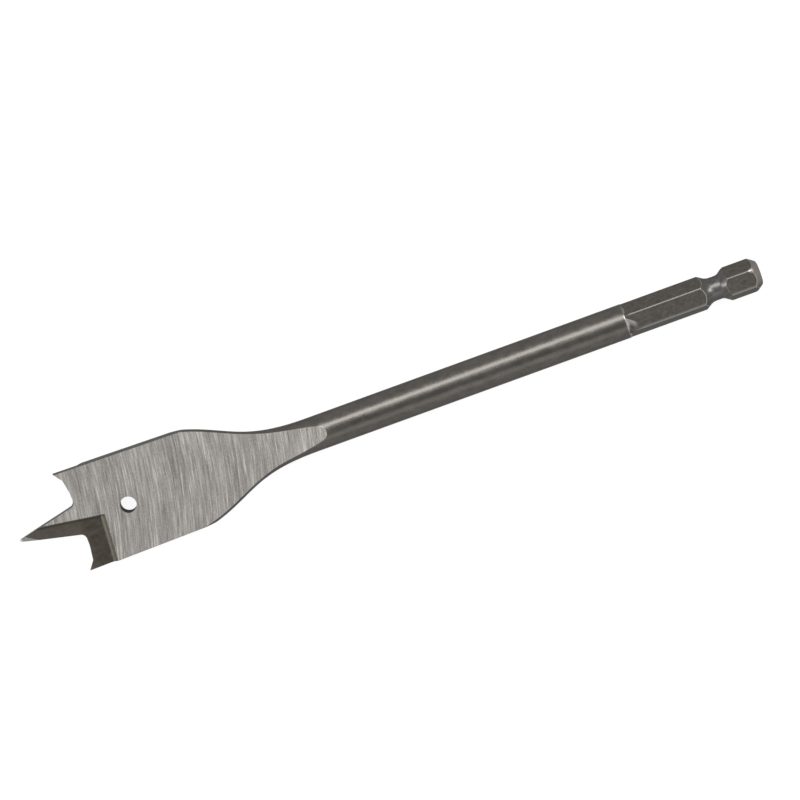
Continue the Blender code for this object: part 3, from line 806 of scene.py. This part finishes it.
wearOf = {
    "forged": barWear, "hollow": hollowShade, "cut": spikeGleam, "hex": hexWear,
    "shoulder": shoulderShade, "turned": chamferShade,
}
surface = {
    "grazingTint": (0.5, 0.5, 0.5, 1), "grainShare": 0.3, "patchShare": 0.7,
    "skinDepth": 0.00002, "scratchDepth": 0.00001,
    "skinSpread": (0.85, 1.15), "scratchSpread": (0.85, 1.20),  # times a finish's roughness
}


def newSteel(name, look):
    made = bpy.data.materials.new(name + "Steel")
    made.use_nodes = True
    shader = made.node_tree.nodes["Principled BSDF"]
    shader.inputs["Metallic"].default_value = 1.0
    shader.inputs["Roughness"].default_value = look["roughness"]
    shader.inputs["Specular Tint"].default_value = surface["grazingTint"]
    return made, made.node_tree, shader


def bumpFrom(tree, shader, height, strength, depth):
    bump = addNode(tree, "ShaderNodeBump", {"Strength": strength, "Distance": depth, "Height": height})
    plug(tree, shader.inputs["Normal"], bump.outputs[0])


def unevenRoughness(tree, value, look, spread):
    return rangeOf(tree, value, 0, 1, *(look["roughness"] * share for share in spread))


def skinnedSteel(name, group, look):
    made, tree, shader = newSteel(name, look)
    skin = addNode(tree, "ShaderNodeGroup", node_tree=group)
    plug(tree, skin.inputs["Vector"], bitPlace(tree))
    skin.inputs["Size"].default_value = look["size"]
    share = sumOf(tree, skin.outputs["Grain"], surface["grainShare"],
                  skin.outputs["Patches"], surface["patchShare"])
    colour = blendColour(tree, share, look["dark"], look["light"])
    if name in wearOf:
        colour = wearOf[name](tree, colour, look)
    if "spot" in look:
        colour = blendColour(tree, wearAndHighlightSpot(tree, look), colour, look["spotColour"])
    plug(tree, shader.inputs["Base Color"], colour)
    roughness = unevenRoughness(tree, skin.outputs["Patches"], look, surface["skinSpread"])
    if "cornerRoughness" in look:
        along = partsOfPlace(tree)["X"]
        past = rampUp(tree, along, span("roughStart", hexStart), look["cornerRoughness"])
        roughness = calc(tree, "ADD", roughness, past)
    plug(tree, shader.inputs["Roughness"], roughness)
    bumpFrom(tree, shader, skin.outputs["Height"], look["bump"], surface["skinDepth"])
    return made


def groundSteel(name, group, look):
    made, tree, shader = newSteel(name, look)
    scored = addNode(tree, "ShaderNodeGroup", node_tree=group)
    plug(tree, scored.inputs["Vector"], bitPlace(tree))
    scored.inputs["Lean"].default_value = look["lean"]
    scored.inputs["Bend"].default_value = look["bend"]
    share = 0.0
    for output in ("Streaks", "Scratches", "Grain"):
        share = calc(tree, "MULTIPLY_ADD", scored.outputs[output], look[output], share)
    colour = blendColour(tree, share, look["dark"], look["light"])
    glints = calc(tree, "MULTIPLY", scored.outputs["Glints"], look["Glints"])
    colour = blendColour(tree, glints, colour, look["glintColour"])
    place = partsOfPlace(tree)
    inside = beyondInnerSide(tree, place)
    # a dark line of painted shade on the ground face along the hollow's inner edge
    paintedShade = product(tree, rampUp(tree, inside, span("paintedShadeStart", -look["paintedShadeWidth"])),
                    rampDown(tree, inside, span("paintedShadeEnd"), look["paintedShade"]),
                    rampDown(tree, place["X"], span("hollowEnd", hollow["length"])))
    plug(tree, shader.inputs["Base Color"], blendColour(tree, paintedShade, colour, look["paintedShadeColour"]))
    plug(tree, shader.inputs["Roughness"],
         unevenRoughness(tree, scored.outputs["Scratches"], look, surface["scratchSpread"]))
    bumpFrom(tree, shader, scored.outputs["Height"], look["bump"], surface["scratchDepth"])
    return made


def grey(level, warm):
    blueLoss = 1.3  # a warm grey loses this much more blue than it gains red
    return (level * (1 + warm), level, level * (1 - blueLoss * warm), 1)


finishes = {
    "forged": {
        "dark": grey(0.066, 0.07), "light": grey(0.104, 0.07), "roughness": 0.31, "size": 0.8,
        # band is a painted reflection; spot and rims are partly wear, partly painted highlight; the dark
        # colour paints shade past the shoulder and a dark band on the shank
        "bump": 0.60, "band": 1.0, "bandColour": grey(0.21, 0.05), "spot": 0.9,
        "spotColour": grey(0.50, 0.05), "corner": 0.85, "cornerColour": grey(0.122, 0.06),
        "cornerRoughness": 0.18, "root": 0.85, "paintedDarkColour": grey(0.022, 0.05), "darkBand": 0.40,
        "rim": 0.7, "rimWidths": (0.00003, 0.00012), "rimLoss": 0.75, "farRim": 0.45,
        "rimColour": grey(0.38, 0.04), "shankRim": 0.7, "ringLoss": 0.9, "tongueRim": 0.35},
    "ground": {
        "dark": (0.108, 0.102, 0.096, 1), "light": (0.440, 0.415, 0.391, 1), "roughness": 0.40,
        "Streaks": 0.30, "Scratches": 0.50, "Grain": 0.20, "Glints": 0.38,
        "glintColour": grey(0.60, 0.03), "lean": 0.22, "bend": 4.8, "bump": 0.40,
        # the dark line beside the hollow is painted shade
        "paintedShade": 0.95, "paintedShadeWidth": 0.00026, "paintedShadeColour": grey(0.036, 0.16)},
    "hollow": {
        "dark": grey(0.036, 0.14), "light": grey(0.066, 0.14), "roughness": 0.36, "size": 0.5,
        # the dark line along the hollow's inner side is painted shade
        "bump": 0.25, "paintedShade": 0.75, "paintedShadeWidths": (0.00016, 0.00060),
        "paintedShadeColour": grey(0.024, 0.16), "spikeShare": 0.25, "spikeColour": grey(0.12, 0.10),
        "wall": 0.9, "wallColour": (0.070, 0.063, 0.051, 1), "footColour": (0.098, 0.091, 0.075, 1)},
    "cut": {
        "dark": grey(0.075, 0.03), "light": grey(0.115, 0.03), "roughness": 0.32, "size": 0.5,
        "bump": 0.20, "gleam": 0.8, "gleamLengths": (0.0035, 0.0050), "gleamColour": grey(0.32, 0.03)},
    "facet": {
        "dark": grey(0.16, 0.01), "light": grey(0.27, 0.01), "roughness": 0.34, "size": 0.3,
        "bump": 0.20},
    # the point facet's pale colour is a painted glint
    "point": {
        "dark": grey(0.38, 0.01), "light": grey(0.56, 0.01), "roughness": 0.25, "size": 0.5,
        "bump": 0.05},
    "bore": {
        "dark": grey(0.014, 0.03), "light": grey(0.024, 0.03), "roughness": 0.40, "size": 0.5,
        "bump": 0.20},
    "hex": {
        "dark": grey(0.054, 0.08), "light": grey(0.099, 0.08), "roughness": 0.30, "size": 0.35,
        # band is a painted reflection; spot and rims are partly wear, partly painted highlight
        "bump": 0.28, "band": 0.9, "bandColour": grey(0.15, 0.05), "spot": 0.9,
        "spotColour": grey(0.28, 0.05), "fan": 0.9, "fanTop": 0.00124, "fanSlope": 0.80,
        "fanDepths": (0.00015, 0.0015), "fanLengths": (0.00147, 0.0021),
        "fanColour": grey(0.32, 0.03), "rim": 0.8, "rimWidths": (0.00003, 0.00012),
        "rimLoss": 0.75, "farRim": 0.45, "rimColour": grey(0.42, 0.06)},
    # the shoulder cone's pale colour is a painted highlight
    "shoulder": {
        "dark": grey(0.40, 0.05), "light": grey(0.62, 0.05), "roughness": 0.34, "size": 0.5,
        "bump": 0.10, "paintedDim": 0.85, "paintedDimColour": grey(0.16, 0.03)},
    "turned": {
        "dark": grey(0.062, 0.03), "light": grey(0.112, 0.03), "roughness": 0.33, "size": 0.4,
        "bump": 0.25, "chamfer": 0.75, "chamferUnder": 0.2, "chamferColour": (0.205, 0.186, 0.162, 1),
        "spot": 0.9, "spotColour": grey(0.50, 0.05)},
}


def makeFinishes():
    grind, mottle = grindGroup(), mottleGroup()
    made = {}
    for name, look in finishes.items():
        build, group = (groundSteel, grind) if name == "ground" else (skinnedSteel, mottle)
        made[name] = build(name, group, look)
    return made


def keepUsedSlots(mesh, instead):
    # only the finishes that some face wears stay, and a bare slot becomes the given one
    used = sorted({face.material_index for face in mesh.polygons})
    kept = [mesh.materials[index] or instead for index in used]
    order = [used.index(face.material_index) for face in mesh.polygons]
    mesh.materials.clear()
    for material in kept:
        mesh.materials.append(material)
    mesh.polygons.foreach_set("material_index", order)


def storePlace(mesh):
    # place in the bit's own frame; the half with its leading face at the back is turned over
    faces = {"groundSteel": 2, "hollowSteel": 2, "facetSteel": 2, "cutSteel": 1}
    border = {"groundSteel": set(), "forgedSteel": set()}
    for face in mesh.polygons:
        border.get(mesh.materials[face.material_index].name, set()).update(face.vertices)
    shared = border["groundSteel"] & border["forgedSteel"]
    mesh.attributes.new("rim", "FLOAT", "POINT").data.foreach_set(
        "value", [float(vertex.index in shared) for vertex in mesh.vertices])
    store = mesh.attributes.new("place", "FLOAT_VECTOR", "CORNER")
    for face in mesh.polygons:
        axis = faces.get(mesh.materials[face.material_index].name)
        over = axis is not None and (face.center.z < 0 if axis == 2 else face.center.y > 0)
        side = -1 if over else 1
        for corner in face.loop_indices:
            x, y, z = mesh.vertices[mesh.loops[corner].vertex_index].co
            store.data[corner].vector = (x, y * side, z * side)


def makeBit(mats):
    blank = makeBlank(mats)
    print("blank lofted:", len(blank.data.polygons), "faces")
    tools = [restCutter(mats["forged"])]
    tools += sideCutters(mats["cut"])
    tools += endCutters(mats["cut"])
    tools += hollowCutters(mats["hollow"])
    tools += facetCutters("facet", mats["facet"]) + facetCutters("pointFacet", mats["point"])
    tools += [holeCutter(mats["bore"]), hexSleeve(mats["hex"], mats["shoulder"])]
    cutWith(blank, tools)
    mesh = meshFrom(blank)
    for tool in tools:
        bpy.data.objects.remove(tool, do_unlink=True)
    bm = bmesh.new()
    bm.from_mesh(mesh)
    bmesh.ops.remove_doubles(bm, verts=bm.verts, dist=mergeDistance)
    bmesh.ops.dissolve_degenerate(bm, dist=mergeDistance, edges=bm.edges)
    bmesh.ops.recalc_face_normals(bm, faces=bm.faces)
    bm.to_mesh(mesh)
    bm.free()
    keepUsedSlots(mesh, mats["forged"])
    storePlace(mesh)
    mesh.transform(layDown)
    mesh.shade_smooth()
    mesh.set_sharp_from_angle(angle=radians(bit["sharpAngle"]))
    made = linkNew("spadeBit", mesh)
    print("bit cut:", len(mesh.polygons), "faces,", [kind.name for kind in mesh.materials])
    return made


mats = makeFinishes()
spadeBit = makeBit(mats)
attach(spadeBit, "root")
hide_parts("spade_bit")


# floor, light and camera

studio = {
    "floorSize": 3.0, "floorColour": (0.93, 0.93, 0.93, 1), "floorRoughness": 0.9, "floorSheen": 0.1,
    "floorGlow": 0.92,  # how much of the floor's white the camera sees without shade
    "ceiling": 1.0,  # world strength
    "lamps": [  # name, angles from straight up towards +Y and +X, distance, width, length, power
        ("longBox", 27.0, 0.0, 0.80, 0.30, 1.1, 6.6),
        ("fill", -55.0, 0.0, 0.90, 0.35, 0.9, 0.7),
        ("leftGlint", 4.0, -68.0, 0.90, 0.22, 0.40, 2.6),
        ("rightGlint", 0.0, 40.0, 0.90, 0.22, 0.40, 3.4),
    ],
}
photoView = {
    "target": (0.00293, 0.000538, 0.0036), "distance": 0.600, "lens": 133.0,
    "turn": 19.975, "tilt": 3.0, "sensor": 36.0, "nearest": 0.01,
}


def makeFloor():
    bm = bmesh.new()
    bmesh.ops.create_grid(bm, x_segments=1, y_segments=1, size=studio["floorSize"] / 2)
    floor = bmeshObject("floor", bm, bpy.data.materials.new("paleFloor"))
    floor.data.materials[0].use_nodes = True
    tree = floor.data.materials[0].node_tree
    shader = tree.nodes["Principled BSDF"]
    shader.inputs["Base Color"].default_value = studio["floorColour"]
    shader.inputs["Roughness"].default_value = studio["floorRoughness"]
    shader.inputs["Specular IOR Level"].default_value = studio["floorSheen"]
    # the camera sees mostly plain white, with the object's shadow kept faint
    glow = addNode(tree, "ShaderNodeEmission", {"Color": (1, 1, 1, 1), "Strength": 1.0})
    seen = tree.nodes.new("ShaderNodeLightPath").outputs
    bounced = calc(tree, "MAXIMUM", seen["Is Glossy Ray"], seen["Is Transmission Ray"])
    direct = calc(tree, "MAXIMUM", seen["Is Camera Ray"], bounced)
    share = calc(tree, "MULTIPLY", direct, studio["floorGlow"])
    mixed = addNode(tree, "ShaderNodeMixShader", {0: share, 1: shader.outputs[0], 2: glow.outputs[0]})
    plug(tree, tree.nodes["Material Output"].inputs["Surface"], mixed.outputs[0])


def makeLights():
    world = bpy.data.worlds.new("studio")
    world.use_nodes = True
    world.node_tree.nodes["Background"].inputs["Color"].default_value = (1, 1, 1, 1)
    world.node_tree.nodes["Background"].inputs["Strength"].default_value = studio["ceiling"]
    bpy.context.scene.world = world
    for name, lean, swing, distance, width, length, power in studio["lamps"]:
        lamp = bpy.data.lights.new(name, "AREA")
        lamp.shape = "RECTANGLE"
        lamp.size, lamp.size_y = length, width
        lamp.energy = power
        made = bpy.data.objects.new(name, lamp)
        turned = Matrix.Rotation(-radians(lean), 4, "X") @ Matrix.Rotation(radians(swing), 4, "Y")
        made.matrix_world = turned @ Matrix.Translation((0, 0, distance))
        bpy.context.scene.collection.objects.link(made)


def makeCamera():
    tilt, turn = radians(photoView["tilt"]), radians(photoView["turn"])
    along = Vector((cos(tilt), 0, -sin(tilt)))
    across = Vector((0, 1, 0))
    back = Vector((sin(tilt), 0, cos(tilt)))
    right = cos(turn) * along - sin(turn) * across
    up = sin(turn) * along + cos(turn) * across
    place = Matrix((right, up, back)).transposed().to_4x4()
    place.translation = Vector(photoView["target"]) + photoView["distance"] * back
    lens = bpy.data.cameras.new("photoCamera")
    lens.lens = photoView["lens"]
    lens.sensor_width = photoView["sensor"]
    lens.clip_start = photoView["nearest"]
    camera = bpy.data.objects.new("photoCamera", lens)
    camera.matrix_world = place
    bpy.context.scene.collection.objects.link(camera)
    bpy.context.scene.camera = camera


makeFloor()
makeLights()
makeCamera()
bpy.context.scene.view_settings.view_transform = "Standard"
print("floor, light and camera set")
